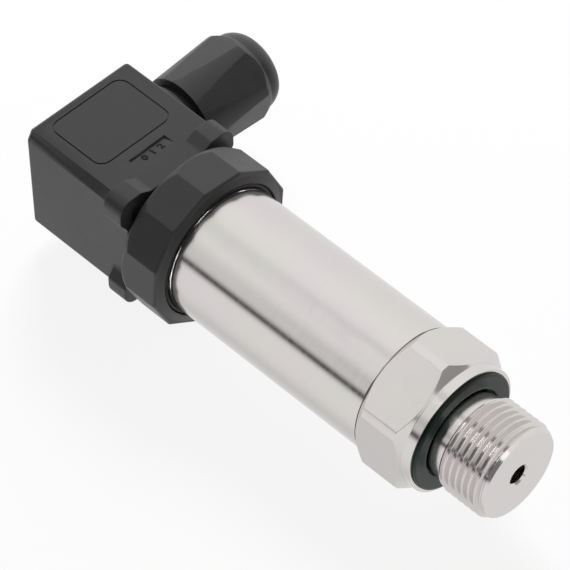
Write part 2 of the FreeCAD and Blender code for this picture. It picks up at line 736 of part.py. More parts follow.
def imprint_line():
    """The shallow line of a rounded square, sunk in the top face."""
    x_low = BODY_BACK + IMPRINT_BACK_INSET
    half_x = IMPRINT_LENGTH / 2
    half_y = IMPRINT_WIDTH / 2
    radius = IMPRINT_CORNER_R
    line = IMPRINT_LINE
    outer = rounded_box(0, 2 * IMPRINT_DEPTH, half_x, half_y, radius)
    inner = rounded_box(0, 2 * IMPRINT_DEPTH, half_x - line, half_y - line, radius - line)
    groove = outer.cut(inner)
    groove.rotate(ORIGIN, Vec(0, 1, 0), -90.0)
    groove.rotate(ORIGIN, Vec(0, 0, 1), 90.0)
    groove.translate(Vec(x_low + half_x, IMPRINT_OFFSET_Y, BODY_HALF_Z - IMPRINT_DEPTH))
    return groove


def date_window():
    """A wedge sunk in the top face, deepest at its back and open to the front."""
    low = WINDOW_OFFSET_Y - WINDOW_WIDTH / 2
    corners = [
        Vec(WINDOW_BACK, low, BODY_HALF_Z + WINDOW_DEPTH),
        Vec(WINDOW_BACK, low, BODY_HALF_Z - WINDOW_DEPTH),
        Vec(WINDOW_FRONT, low, BODY_HALF_Z),
        Vec(WINDOW_FRONT, low, BODY_HALF_Z + WINDOW_DEPTH),
    ]
    face = Part.Face(Part.makePolygon(corners + [corners[0]]))
    return face.extrude(Vec(0, WINDOW_WIDTH, 0))


def plug_housing():
    """Square shell with its skirt, the screw's boss, and the gland's neck on the +Y side."""
    body = rounded_prism(body_corners(), BODY_BACK, SKIRT_FRONT)
    edge_r = min(BODY_BACK_EDGE_R, HOUSING_BACK_WALL / 2)
    body = body.makeFillet(edge_r, edges_at_x(body, BODY_BACK))
    body = body.fuse(rounded_prism(skirt_corners(), SKIRT_BACK, SKIRT_FRONT))
    neck = turned([
        (0, 0),
        (0, GLAND_BOSS_R),
        (BOSS_TOP, GLAND_BOSS_R),
        (BOSS_TOP, GLAND_NECK_R),
        (NECK_TOP, GLAND_NECK_R),
        (NECK_TOP, 0),
    ])
    body = body.fuse(on_gland(neck))
    cavity = rounded_box(CAVITY_BACK, SKIRT_FRONT, CAVITY_HALF, CAVITY_HALF, PAD_CORNER_R / 2)
    cavity = cavity.cut(rod(CAVITY_BACK, SCREW_BOSS_FRONT, SCREW_RECESS_R + SCREW_BOSS_WALL))
    cavity_gland = on_gland(rod(0, NECK_TOP, GLAND_BORE_R))
    column = rod(BODY_BACK, SCREW_BOSS_FRONT, SCREW_RECESS_R + SCREW_BOSS_WALL)
    body = body.cut(cavity).cut(cavity_gland.cut(column))
    mouth = SKIRT_CAVITY_HALF
    body = body.cut(rounded_box(GASKET_BACK, SKIRT_FRONT, mouth, mouth, PAD_CORNER_R))
    screw_way = rod(BODY_BACK, SCREW_BOSS_FRONT, SCREW_R + SCREW_BLOCK_CLEARANCE)
    recess = rod(BODY_BACK, WASHER_FRONT, SCREW_RECESS_R)
    body = body.cut(screw_way).cut(recess)
    return body.cut(imprint_line()).cut(date_window())


def socket_envelope():
    """The outside of one socket and its wire clamp, at the +Y place."""
    half = SOCKET_WIDTH / 2
    high = CONTACT_OFFSET + SOCKET_THICK / 2
    clip = box((SOCKET_BACK, SOCKET_FRONT), (high - SOCKET_THICK, high), (-half, half))
    clamp = box((CLAMP_BACK, SOCKET_BACK), (high - CLAMP_DEPTH, high), (-half, half))
    return clip.fuse(clamp).removeSplitter()


def clamp_screw_offset():
    """How far a clamp screw stands from the plug's axis."""
    return CONTACT_OFFSET + SOCKET_THICK / 2 - CLAMP_SCREW_INSET


def contact_socket():
    """One socket at the +Y place: a sprung clip round the blade, with a screw clamp behind it."""
    low = CONTACT_OFFSET - BLADE_THICK / 2 - SOCKET_CLEARANCE
    high = CONTACT_OFFSET + BLADE_THICK / 2 + SOCKET_CLEARANCE
    half = BLADE_WIDTH / 2 + SOCKET_CLEARANCE
    slot = box((SOCKET_BACK, SOCKET_FRONT), (low, high), (-half, half))
    screw_hole = rod(CLAMP_BACK, SOCKET_BACK, CLAMP_SCREW_R, clamp_screw_offset())
    return socket_envelope().cut(slot).cut(screw_hole)


def terminal_block():
    """Moulded insert that holds the four sockets round the fixing screw's way."""
    body = rounded_box(BLOCK_BACK, GASKET_BACK, BLOCK_HALF, BLOCK_HALF, PAD_CORNER_R / 2)
    body = body.cut(rod(BLOCK_BACK, GASKET_BACK, SCREW_R + SCREW_BLOCK_CLEARANCE))
    low = CONTACT_OFFSET - SOCKET_THICK / 2
    half = BLADE_WIDTH / 2 + SCREW_BLOCK_CLEARANCE
    blade_way = box((SOCKET_FRONT, GASKET_BACK), (low, low + SOCKET_THICK), (-half, half))
    offset = clamp_screw_offset()
    head_way = rod(BLOCK_BACK, CLAMP_BACK, CLAMP_HEAD_R + BLOCK_CLEARANCE, offset)
    for quarter in range(4):
        for cutter in (socket_envelope(), blade_way, head_way):
            body = body.cut(at_contact(cutter, quarter))
    return body


def terminal_screws():
    """Four slotted clamp screws, their heads at the block's back."""
    offset = clamp_screw_offset()
    head_back = CLAMP_BACK - CLAMP_HEAD_THICK
    screw = rod(CLAMP_BACK, SOCKET_BACK, CLAMP_SCREW_R, offset)
    screw = screw.fuse(rod(head_back, CLAMP_BACK, CLAMP_HEAD_R, offset)).removeSplitter()
    half = SCREW_SLOT_WIDTH / 2
    across = (offset - CLAMP_HEAD_R, offset + CLAMP_HEAD_R)
    screw = screw.cut(box((head_back, head_back + SCREW_SLOT_DEPTH), across, (-half, half)))
    return Part.makeCompound([at_contact(screw, quarter) for quarter in range(4)])


def fixing_screw():
    """Long cheese-head screw through the plug into the base."""
    body = turned([
        (SCREW_HEAD_BACK, 0),
        (SCREW_HEAD_BACK, SCREW_HEAD_R),
        (SCREW_HEAD_FRONT, SCREW_HEAD_R),
        (SCREW_HEAD_FRONT, SCREW_R),
        (SCREW_TIP - SCREW_TIP_BEVEL, SCREW_R),
        (SCREW_TIP, SCREW_R - SCREW_TIP_BEVEL),
        (SCREW_TIP, 0),
    ])
    half = SCREW_SLOT_WIDTH / 2
    slot_floor = SCREW_HEAD_BACK + SCREW_HEAD_THICK / 2
    return body.cut(box((SCREW_HEAD_BACK, slot_floor), (-SCREW_HEAD_R, SCREW_HEAD_R), (-half, half)))


def screw_washer():
    """Flat washer under the fixing screw's head."""
    return ring(SCREW_HEAD_FRONT, WASHER_FRONT, SCREW_R + SCREW_BLOCK_CLEARANCE, WASHER_R)


# Cable gland

def gland_grommet():
    """Rubber cable seal in the neck, standing out of it towards the nut."""
    outer = GLAND_BORE_R - GROMMET_CLEARANCE
    return on_gland(ring(GROMMET_TOP - GROMMET_LENGTH, GROMMET_TOP, CABLE_R, outer))


def gland_washer():
    """Slip ring between the grommet and the nut's shoulder."""
    return on_gland(ring(GROMMET_TOP, SLIP_RING_TOP, SLIP_RING_BORE_R, GLAND_NECK_R - CAP_CLEARANCE))


def gland_nut():
    """Cap nut: a cone with six flats that grow towards the front, and a domed front rim."""
    dome_middle = DOME_START + CAP_DOME_LENGTH * CAP_DOME_MID_SHARE
    outside = turned([
        (CAP_REAR, 0),
        (CAP_REAR, CAP_REAR_R),
        (CAP_GRIP_TOP, CAP_FRONT_R),
        (DOME_START, CAP_DOME_R),
        ((dome_middle, CAP_DOME_MID_R), (CAP_TOP, CAP_FRONT_RIM_R)),
        (CAP_TOP, 0),
    ])
    around = rod(CAP_REAR, DOME_START, 2 * CAP_FRONT_R)
    corner_r = CAP_FLATS / 2 / math.cos(math.pi / 6)
    outside = outside.cut(around.cut(prism(6, corner_r, CAP_REAR, DOME_START, 180.0 - CAP_CORNER_ANGLE)))
    bore = turned([
        (CAP_REAR, 0),
        (CAP_REAR, GLAND_NECK_R + CAP_CLEARANCE),
        (SLIP_RING_TOP, GLAND_NECK_R + CAP_CLEARANCE),
        (SLIP_RING_TOP, CAP_MOUTH_R),
        (CAP_TOP - CAP_MOUTH_BEVEL, CAP_MOUTH_R),
        (CAP_TOP, CAP_MOUTH_R + CAP_MOUTH_BEVEL),
        (CAP_TOP, 0),
    ])
    return on_gland(outside.cut(bore))


PIECES = {
    "process_connection": process_connection,
    "profile_seal": profile_seal,
    "sensor_o_ring": sensor_o_ring,
    "sensor_capsule": sensor_capsule,
    "capsule_retainer": capsule_retainer,
    "sensor_leads": sensor_leads,
    "housing_tube": housing_tube,
    "insulating_sleeve": insulating_sleeve,
    "amplifier_board": amplifier_board,
    "board_components": board_components,
    "output_leads": output_leads,
    "connector_base": connector_base,
    "base_o_ring": base_o_ring,
    "union_nut": union_nut,
    "nut_o_ring": nut_o_ring,
    "plug_gasket": plug_gasket,
    "plug_housing": plug_housing,
    "terminal_block": terminal_block,
    "terminal_screws": terminal_screws,
    "fixing_screw": fixing_screw,
    "screw_washer": screw_washer,
    "gland_grommet": gland_grommet,
    "gland_washer": gland_washer,
    "gland_nut": gland_nut,
}

# Quarter turns of the four contacts from the +Y place: 1 and 2 face each other, 3 faces the earth
CONTACT_QUARTERS = {1: 2, 2: 0, 3: 1}
EARTH_QUARTER = 3


def all_pieces():
    """Every piece under its own name."""
    shapes = {name: make() for name, make in PIECES.items()}
    for number, quarter in CONTACT_QUARTERS.items():
        shapes[f"contact_pin_{number}"] = at_contact(blade(), quarter)
        shapes[f"contact_socket_{number}"] = at_contact(contact_socket(), quarter)
    shapes["earth_pin"] = at_contact(blade(EARTH_BLADE_EXTRA), EARTH_QUARTER)
    shapes["earth_socket"] = at_contact(contact_socket(), EARTH_QUARTER)
    return shapes


os.makedirs("parts", exist_ok=True)
for name, shape in all_pieces().items():
    shape.exportStep(f"parts/{name}.step")
    print(f"{name}: {len(shape.Solids)} solid(s), {shape.Volume:.1f} mm3, valid {shape.isValid()}")
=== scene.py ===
import json
import math

import bmesh
import bpy
from mathutils import Matrix, Vector


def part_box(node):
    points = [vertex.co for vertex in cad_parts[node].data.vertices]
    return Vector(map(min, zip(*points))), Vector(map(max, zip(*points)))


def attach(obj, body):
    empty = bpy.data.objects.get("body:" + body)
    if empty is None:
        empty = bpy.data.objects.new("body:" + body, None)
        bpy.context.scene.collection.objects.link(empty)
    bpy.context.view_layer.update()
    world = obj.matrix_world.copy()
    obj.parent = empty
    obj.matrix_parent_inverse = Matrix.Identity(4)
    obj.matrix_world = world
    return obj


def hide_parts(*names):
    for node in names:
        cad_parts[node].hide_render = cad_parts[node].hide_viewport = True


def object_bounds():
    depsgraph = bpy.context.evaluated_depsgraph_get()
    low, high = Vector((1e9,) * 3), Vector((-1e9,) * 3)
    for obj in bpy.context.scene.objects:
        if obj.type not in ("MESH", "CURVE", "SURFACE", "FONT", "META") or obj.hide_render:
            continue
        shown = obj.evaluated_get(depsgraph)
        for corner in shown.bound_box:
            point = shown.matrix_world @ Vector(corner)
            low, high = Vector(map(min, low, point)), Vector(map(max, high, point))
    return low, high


# The looks of a pressure transmitter with a square angle plug, in metres.
# +X runs along the axis out of the thread, +Y along the cable gland, +Z is up.

MM = 0.001
WELD = 0.001 * MM
FULL_TURN = 2 * math.pi

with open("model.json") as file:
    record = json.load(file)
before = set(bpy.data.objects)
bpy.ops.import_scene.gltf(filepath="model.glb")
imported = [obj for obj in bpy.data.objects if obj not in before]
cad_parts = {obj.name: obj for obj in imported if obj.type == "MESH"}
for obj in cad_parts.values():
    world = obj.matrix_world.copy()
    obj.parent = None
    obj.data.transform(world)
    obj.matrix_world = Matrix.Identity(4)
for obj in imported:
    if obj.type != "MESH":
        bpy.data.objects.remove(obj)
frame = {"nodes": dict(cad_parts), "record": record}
cad_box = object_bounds()

# Process connection
THREAD_R = 10.0 * MM
THREAD_PITCH = 1.5 * MM
THREAD_FRONT = 14.25 * MM
THREAD_BACK = 3.5 * MM
THREAD_START_BEVEL = 0.75 * MM
TIP_BEVEL_LENGTH = 1.6 * MM
TIP_BEVEL_DROP = 0.9 * MM
NECK_R = 8.9 * MM
PORT_R = 2.0 * MM
PORT_COUNTERSINK = 0.35 * MM
FLANGE_R = 13.2 * MM
FLANGE_BACK = -2.0 * MM
FLANGE_RIM = 0.7 * MM
SEAL_GROOVE_DEPTH = 1.5 * MM
HEX_FRONT = -3.6 * MM
HEX_BACK = -13.3 * MM
HEX_SIDES = 6
HEX_SIDE_COLUMNS = 28
HEX_TURNED_R = 15.1 * MM
HEX_CORNER_ANGLE = math.radians(32.0)
REAR_CONE_LENGTH = 1.8 * MM
HEX_EDGE = 0.05 * MM
HEX_LEAST_CREASE = math.radians(15)
SPIGOT_BACK = -17.3 * MM
SPIGOT_R = 12.25 * MM
CHAMBER_R = 9.1 * MM
CELL_FRONT = -6.2 * MM
CONNECTION_SHARP_ANGLE = math.radians(12)

# The narrow groove where the hexagon meets the tube
JOINT_BEVEL = 0.08 * MM
JOINT_GAP = 0.2 * MM
JOINT_DEPTH = 0.9 * MM

# The thread's form: shares of the pitch from a crest's middle, with the depth there
THREAD_FORM = (
    (0.0, 0.0), (0.06, 0.0), (0.09, 0.04 * MM), (0.37, 0.84 * MM), (0.43, 0.93 * MM), (0.5, 0.95 * MM),
)

# One more row halfway down each flank, as a share of the pitch from the crest's middle
THREAD_FLANK_ROW = 0.23

# Seal in the flange. A greater flatness keeps its face flat closer to its edges.
SEAL_INNER_R = 9.35 * MM
SEAL_OUTER_R = 12.4 * MM
SEAL_PROUD = 0.6 * MM
SEAL_ROUNDING = 0.12 * MM
SEAL_FLATNESS = 12
SEAL_ROWS = 12
SEAL_COLUMNS = 160

# Steel tube
TUBE_R = 13.5 * MM
TUBE_BORE_R = 12.3 * MM
TUBE_COLUMNS = 256

# 12-sided nut and its O-ring
NUT_SIDES = 12
NUT_SIDE_COLUMNS = 12
NUT_CORNER_R = 17.33 * MM
NUT_CORNER_ANGLE = math.radians(10.0)
NUT_FRONT_BEVEL = 0.35 * MM
NUT_REAR_BEVEL_LENGTH = 1.6 * MM
NUT_REAR_BEVEL_DROP = 0.75 * MM
NUT_FACE_RISE = 0.5 * MM
NUT_FACE_INSET = 0.3 * MM
NUT_MOUTH_R = 14.45 * MM
NUT_MOUTH_DEPTH = 1.3 * MM
NUT_MOUTH_BEVEL = 0.15 * MM
NUT_BORE_R = 13.6 * MM
NUT_LIP = 2.1 * MM
NUT_LIP_R = 11.4 * MM
NUT_EDGE = 0.14 * MM
NUT_LEAST_CREASE = math.radians(6)
NUT_SHARP_ANGLE = math.radians(40)
RING_CORD_R = 0.45 * MM
RING_CORD_ROWS = 24
RING_COLUMNS = 200

# Plug. Its edges are rounded where they stand past the skirt's or the gland boss's limits.
PLUG_EDGE = 0.22 * MM
PLUG_SHARP_ANGLE = math.radians(35)
SKIRT_REAR = -77.4 * MM
SKIRT_Y_LIMIT = 12.9 * MM
SKIRT_Z_LIMIT = 12.65 * MM
BOSS_Y_LIMIT = 13.2 * MM
BOSS_R_LIMIT = 6.9 * MM
BODY_TOP = 12.72 * MM
WINDOW_MIDDLE_X = -79.6 * MM
WINDOW_MIDDLE_Y = 0.45 * MM
WINDOW_DEPTH = 0.5 * MM
WINDOW_LENGTH = 2.55 * MM
WINDOW_SLOPE = math.atan(WINDOW_DEPTH / WINDOW_LENGTH)
NUMERALS = "012"
NUMERAL_HEIGHT = 2.2 * MM
NUMERAL_PITCH = 2.05 * MM
NUMERAL_RISE = 0.14 * MM
NUMERAL_BOLD = 0.07 * MM

# Gland nut, on the gland's axis
GLAND_X = -91.2 * MM
CAP_REAR = 17.97 * MM
CAP_GRIP_TOP = 32.97 * MM
CAP_DOME_START = 34.47 * MM
CAP_TOP = 38.27 * MM
CAP_REAR_R = 8.73 * MM
CAP_FRONT_R = 9.5 * MM
CAP_SIDES = 6
CAP_FLATS = 17.4 * MM
CAP_CORNER_ANGLE = math.radians(180.0 - 18.7)
CAP_DOME_R = 8.5 * MM
CAP_RIM_R = 6.3 * MM
CAP_DOME_TURN = math.radians(72)
CAP_DOME_ROWS = 14
CAP_COLUMNS = 240
CAP_BORE_R = 7.08 * MM
CAP_FLOOR = 28.77 * MM
CAP_MOUTH_R = 5.4 * MM
CAP_MOUTH_BEVEL = 0.4 * MM
CAP_EDGE = 0.12 * MM
CAP_LEAST_CREASE = math.radians(14)
CAP_SHARP_ANGLE = math.radians(24)

# The least crease that is shaded as an edge, where a piece has no angle of its own
SHARP_ANGLE = math.radians(30)

# How large the features of each finish are
MOULDED_PATCH = 3.5 * MM
PLATED_PATCH = 1.2 * MM
PLATED_GRAIN = 0.15 * MM
TURNED_LINE = 0.22 * MM
TURNED_WAVE = 7.0 * MM
TURNED_TINT = 14.0 * MM

# Turned steel: two tints for its duller lines and two for its lighter ones
STEEL_DULL = ((0.705, 0.69, 0.655), (0.715, 0.67, 0.675))
STEEL_LIGHT = ((0.74, 0.725, 0.69), (0.75, 0.705, 0.71))

# The room: plain light, and for gloss a tone at each angle about the X axis, from +Y upwards
ROOM_LIGHT = 0.15
ROOM_TONES = (
    (-180, 0.9), (-150, 0.89), (-134, 0.85), (-120, 0.75), (-110, 0.7), (-60, 0.85),
    (0, 0.9), (60, 0.98), (85, 0.96), (104, 0.79), (125, 0.94), (143, 0.82),
    (160, 0.75), (165, 0.5), (168, 0.03), (172, 0.03), (175.5, 0.6), (180, 0.9),
)

# Panels in the room, seen only in gloss: direction, where they are full and where they end in degrees, tone
PANELS = (
    ((-0.12, -0.82, 0.56), 15, 18, 0.15),
    ((-0.14, -0.49, 0.86), 14, 17, 0.2),
    ((-0.16, -0.12, 0.98), 12, 16, 0.3),
    ((-0.25, -0.50, 0.83), 4, 6, 3.4),
    ((-0.25, -0.36, 0.90), 4, 6, 3.4),
    ((-0.26, -0.22, 0.94), 4, 6, 3.4),
    ((0.78, 0.46, 0.38), 23, 27, 0.34),
    ((0.50, -0.70, 0.50), 22, 25, 0.2),
    ((0.55, -0.20, 0.81), 9, 12, 1.35),
)

# Soft lamps, aimed where the camera is: name, place, size and watts
LAMPS = (
    ("soft lamp", (-0.5, 0.5, 0.55), 0.45, 9.5),
    ("low lamp", (0.05, -0.5, -0.68), 0.4, 7.6),
)

# Small lamps for the glints on the ring at the nut's mouth, by the angle of each glint about the X axis.
# The slope is how far the ring's surface leans forwards there. Both are in degrees.
GLINT_ANGLES = (56, 61, 66, 105, 110, 115, 143, 148, 153, 158, 163, 168, 173, 178)
GLINT_SLOPE = 32
GLINT_DISTANCE = 0.3
GLINT_SIZE = 0.05
GLINT_WATTS = 1.2

# The floor near the part: how much of its look is its own white, and where it fades into the white room
FLOOR_COLOR = (0.95, 0.95, 0.95, 1.0)
FLOOR_WHITE = 0.88
FLOOR_R = 3.0
FLOOR_FADE = (0.12, 0.3)

# Camera: the photograph's view
CAMERA_AIM = Vector((-46.69 * MM, 2.22 * MM, 0.0))
CAMERA_DISTANCE = 686.84 * MM
CAMERA_AZIMUTH = math.radians(45.812)
CAMERA_ELEVATION = math.radians(49.271)
CAMERA_ROLL = math.radians(-0.82)
CAMERA_FOCAL_PIXELS = 3715.0
CAMERA_SENSOR = 36.0
PHOTO_PIXELS = 570


def level(x, radius):
    """A row at one place and radius all round."""
    return lambda angle: (x, radius)


def milled(outline, apothem, sides, corner_angle):
    """Rows for a turned outline of (x, radius) points that the flats of a prism cut into."""
    step = FULL_TURN / sides

    def flat_r(angle):
        return apothem / math.cos((angle - corner_angle) % step - step / 2)

    def corner(x, radius):
        return lambda angle: (x, min(radius, flat_r(angle)))

    def crossing(x0, r0, x1, r1):
        def row(angle):
            share = (flat_r(angle) - r0) / (r1 - r0)
            share = min(max(share, 0.0), 1.0)
            return x0 + share * (x1 - x0), min(r0 + share * (r1 - r0), flat_r(angle))
        return row

    rows = []
    for (x0, r0), (x1, r1) in zip(outline, outline[1:]):
        rows.append(corner(x0, r0))
        if r0 != r1:
            rows.append(crossing(x0, r0, x1, r1))
    return rows + [corner(*outline[-1])]


def even_angles(count, start=0.0):
    """Angles all round, with the first one again at the end."""
    return [start + FULL_TURN * k / count for k in range(count + 1)]


def smooth_mesh(bm, name, sharp_angle=SHARP_ANGLE):
    """Turns a finished bmesh into an object with smooth faces and sharp creases."""
    bmesh.ops.recalc_face_normals(bm, faces=bm.faces)
    mesh = bpy.data.meshes.new(name)
    bm.to_mesh(mesh)
    bm.free()
    mesh.shade_smooth()
    mesh.set_sharp_from_angle(angle=sharp_angle)
    piece = bpy.data.objects.new(name, mesh)
    bpy.context.scene.collection.objects.link(piece)
    weighted = piece.modifiers.new("even shading", "WEIGHTED_NORMAL")
    weighted.keep_sharp = True
    weighted.weight = 90
    return piece


def round_edges(bm, width, least_angle, wanted):
    """Rounds the creases whose middles are wanted."""
    edges = []
    for edge in bm.edges:
        middle = (edge.verts[0].co + edge.verts[1].co) / 2
        if len(edge.link_faces) == 2 and edge.calc_face_angle(0.0) > least_angle and wanted(middle):
            edges.append(edge)
    bmesh.ops.bevel(bm, geom=edges, offset=width, offset_type="OFFSET", segments=2, profile=0.5,
                    affect="EDGES", clamp_overlap=False)


def grid(rows, angles):
    """A closed skin from rows of (x, radius) functions of the angle. The last row joins the first."""
    bm = bmesh.new()
    lines = []
    for row in rows:
        line = []
        for angle in angles:
            x, radius = row(angle)
            line.append(bm.verts.new((x, radius * math.cos(angle), radius * math.sin(angle))))
        lines.append(line)
    for low, high in zip(lines, lines[1:] + lines[:1]):
        for k in range(len(angles) - 1):
            bm.faces.new((low[k], low[k + 1], high[k + 1], high[k]))
    bmesh.ops.remove_doubles(bm, verts=bm.verts, dist=WELD)
    bmesh.ops.dissolve_degenerate(bm, edges=bm.edges, dist=WELD)
    return bm


def off_axis(point):
    """How far a point stands from the X axis."""
    return math.hypot(point.y, point.z)


# Process connection

def hex_angles():
    """Columns that fall on the edges of the flats, and some in between."""
    # Half of the angle that stays round at each corner
    land = math.pi / HEX_SIDES - math.acos(TUBE_R / HEX_TURNED_R)
    flat_width = FULL_TURN / HEX_SIDES - 2 * land
    angles = []
    for k in range(HEX_SIDES):
        corner = HEX_CORNER_ANGLE + FULL_TURN * k / HEX_SIDES
        angles += [corner - land, corner - land / 2, corner, corner + land / 2]
        angles += [corner + land + flat_width * n / HEX_SIDE_COLUMNS for n in range(HEX_SIDE_COLUMNS)]
    return angles + [angles[0] + FULL_TURN]


def thread_depth(share):
    """The thread's depth at this share of a pitch from a crest's middle."""
    away = abs((share + 0.5) % 1.0 - 0.5)
    for (a0, d0), (a1, d1) in zip(THREAD_FORM, THREAD_FORM[1:]):
        if away <= a1:
            return d0 + (d1 - d0) * (away - a0) / (a1 - a0)
    return THREAD_FORM[-1][1]


def thread_end_r(x):
    """The radius that the turned bevels at the thread's two ends leave."""
    tip = THREAD_R - TIP_BEVEL_DROP * max(0.0, 1 - (THREAD_FRONT - x) / TIP_BEVEL_LENGTH)
    start = THREAD_R - THREAD_START_BEVEL + x - THREAD_BACK
    return min(tip, start)


def thread_rows(first_angle):
    """Rows that follow the helix, from the tip back to the neck."""
    def row(base):
        def at(angle):
            turns = (angle - first_angle) / FULL_TURN
            x = min(max(base + THREAD_PITCH * turns, THREAD_BACK), THREAD_FRONT)
            radius = THREAD_R - thread_depth(x / THREAD_PITCH - turns)
            return x, min(radius, thread_end_r(x))
        return at

    shares = [share for share, depth in THREAD_FORM] + [THREAD_FLANK_ROW]
    shares += [1 - share for share in shares if 0 < share < 0.5]
    rows = []
    last = math.floor(THREAD_BACK / THREAD_PITCH) - 1
    for turn in range(math.ceil(THREAD_FRONT / THREAD_PITCH), last - 1, -1):
        rows += [row((turn + share) * THREAD_PITCH) for share in sorted(shares, reverse=True)]
    return rows


def connection_edge(point):
    """True on the outer edges of the flange and the hexagon, and not at the joint with the tube."""
    joint_end = HEX_BACK + JOINT_GAP + 2 * JOINT_BEVEL
    return joint_end < point.x < WELD and off_axis(point) > FLANGE_R - FLANGE_RIM - WELD


def process_connection():
    """The stud with its thread, the flange, the hexagon and the pressure port."""
    angles = hex_angles()
    rows = [level(THREAD_FRONT, PORT_R + PORT_COUNTERSINK)]
    rows += thread_rows(angles[0])
    rows += [
        level(THREAD_BACK, NECK_R),
        level(-SEAL_GROOVE_DEPTH, NECK_R),
        level(-SEAL_GROOVE_DEPTH, FLANGE_R - FLANGE_RIM),
        level(0.0, FLANGE_R - FLANGE_RIM),
    ]
    rows += milled([
        (0.0, FLANGE_R),
        (FLANGE_BACK, FLANGE_R),
        (HEX_FRONT, HEX_TURNED_R),
        (HEX_BACK + REAR_CONE_LENGTH, HEX_TURNED_R),
        (HEX_BACK + JOINT_GAP + JOINT_BEVEL, TUBE_R + JOINT_BEVEL),
        (HEX_BACK + JOINT_GAP, TUBE_R - JOINT_BEVEL),
        (HEX_BACK + JOINT_GAP, TUBE_R - JOINT_DEPTH),
        (HEX_BACK, TUBE_R - JOINT_DEPTH),
    ], TUBE_R, HEX_SIDES, HEX_CORNER_ANGLE)
    rows += [
        level(HEX_BACK, SPIGOT_R),
        level(SPIGOT_BACK, SPIGOT_R),
        level(SPIGOT_BACK, CHAMBER_R),
        level(CELL_FRONT, CHAMBER_R),
        level(CELL_FRONT, PORT_R),
        level(THREAD_FRONT - PORT_COUNTERSINK, PORT_R),
    ]
    bm = grid(rows, angles)
    round_edges(bm, HEX_EDGE, HEX_LEAST_CREASE, connection_edge)
    return smooth_mesh(bm, "threaded_connection", CONNECTION_SHARP_ANGLE)


def profile_seal():
    """Rubber seal with a nearly flat face."""
    middle = (SEAL_INNER_R + SEAL_OUTER_R) / 2
    half = (SEAL_OUTER_R - SEAL_INNER_R) / 2
    rows = [level(-SEAL_GROOVE_DEPTH, SEAL_INNER_R), level(-SEAL_GROOVE_DEPTH, SEAL_OUTER_R)]
    for k in range(SEAL_ROWS + 1):
        side = 1 - 2 * k / SEAL_ROWS
        rows.append(level(SEAL_PROUD - SEAL_ROUNDING * side ** SEAL_FLATNESS, middle + half * side))
    return smooth_mesh(grid(rows, even_angles(SEAL_COLUMNS)), "rubber_seal")


def housing_tube():
    """Plain tube with a small bevel at the joint with the hexagon."""
    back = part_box("housing_tube")[0].x
    rows = [
        level(back, TUBE_R),
        level(HEX_BACK - JOINT_BEVEL, TUBE_R),
        level(HEX_BACK, TUBE_R - JOINT_BEVEL),
        level(HEX_BACK, TUBE_BORE_R),
        level(back, TUBE_BORE_R),
    ]
    return smooth_mesh(grid(rows, even_angles(TUBE_COLUMNS)), "steel_tube")


# Nut and O-ring

def union_nut():
    """12-sided nut, bevelled at both ends, with a wide mouth at its front."""
    back, face = (corner.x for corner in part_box("union_nut"))
    front = face - NUT_FACE_RISE
    to_flat = math.cos(math.pi / NUT_SIDES)
    front_apothem = (NUT_CORNER_R - NUT_FRONT_BEVEL) * to_flat
    rows = milled([
        (back, NUT_CORNER_R - NUT_REAR_BEVEL_DROP),
        (back + NUT_REAR_BEVEL_LENGTH, NUT_CORNER_R),
        (front - NUT_FRONT_BEVEL, NUT_CORNER_R),
    ], NUT_CORNER_R * to_flat, NUT_SIDES, NUT_CORNER_ANGLE)
    rows += milled([(front, NUT_CORNER_R)], front_apothem, NUT_SIDES, NUT_CORNER_ANGLE)
    rows += [
        level(front, front_apothem - NUT_FACE_INSET),
        level(face, NUT_MOUTH_R + NUT_MOUTH_BEVEL),
        level(face - NUT_MOUTH_BEVEL, NUT_MOUTH_R),
        level(face - NUT_MOUTH_DEPTH, NUT_MOUTH_R),
        level(face - NUT_MOUTH_DEPTH, NUT_BORE_R),
        level(back + NUT_LIP, NUT_BORE_R),
        level(back + NUT_LIP, NUT_LIP_R),
        level(back, NUT_LIP_R),
    ]
    bm = grid(rows, even_angles(NUT_SIDES * NUT_SIDE_COLUMNS, NUT_CORNER_ANGLE))
    outer = NUT_MOUTH_R + 2 * NUT_MOUTH_BEVEL
    round_edges(bm, NUT_EDGE, NUT_LEAST_CREASE, lambda p: off_axis(p) > outer)
    return smooth_mesh(bm, "twelve_sided_nut", NUT_SHARP_ANGLE)


def nut_o_ring():
    """Smooth rubber ring round the tube."""
    middle_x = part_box("nut_o_ring")[1].x - RING_CORD_R
    rows = []
    for angle in even_angles(RING_CORD_ROWS)[:-1]:
        x = middle_x + RING_CORD_R * math.cos(angle)
        radius = TUBE_R + RING_CORD_R * (1 + math.sin(angle))
        rows.append(level(x, radius))
    return smooth_mesh(grid(rows, even_angles(RING_COLUMNS)), "black_o_ring", math.pi)


# Plug

def outside_edge(point):
    """True on the skirt's ears and rims and on the gland's boss, and not on the imprint or inside."""
    on_skirt = point.x > SKIRT_REAR and (abs(point.y) > SKIRT_Y_LIMIT or abs(point.z) > SKIRT_Z_LIMIT)
    from_gland = math.hypot(point.x - GLAND_X, point.z)
    on_boss = point.y > BOSS_Y_LIMIT and from_gland > BOSS_R_LIMIT
    return on_skirt or on_boss


def plug_housing():
    """The plug's shell, with its outer edges rounded."""
    bm = bmesh.new()
    bm.from_mesh(frame["nodes"]["plug_housing"].data)
    bmesh.ops.remove_doubles(bm, verts=bm.verts, dist=WELD)
    bmesh.ops.dissolve_limit(bm, angle_limit=math.radians(0.5), verts=bm.verts, edges=bm.edges)
    round_edges(bm, PLUG_EDGE, PLUG_SHARP_ANGLE, outside_edge)
    return smooth_mesh(bm, "plug_shell", PLUG_SHARP_ANGLE)


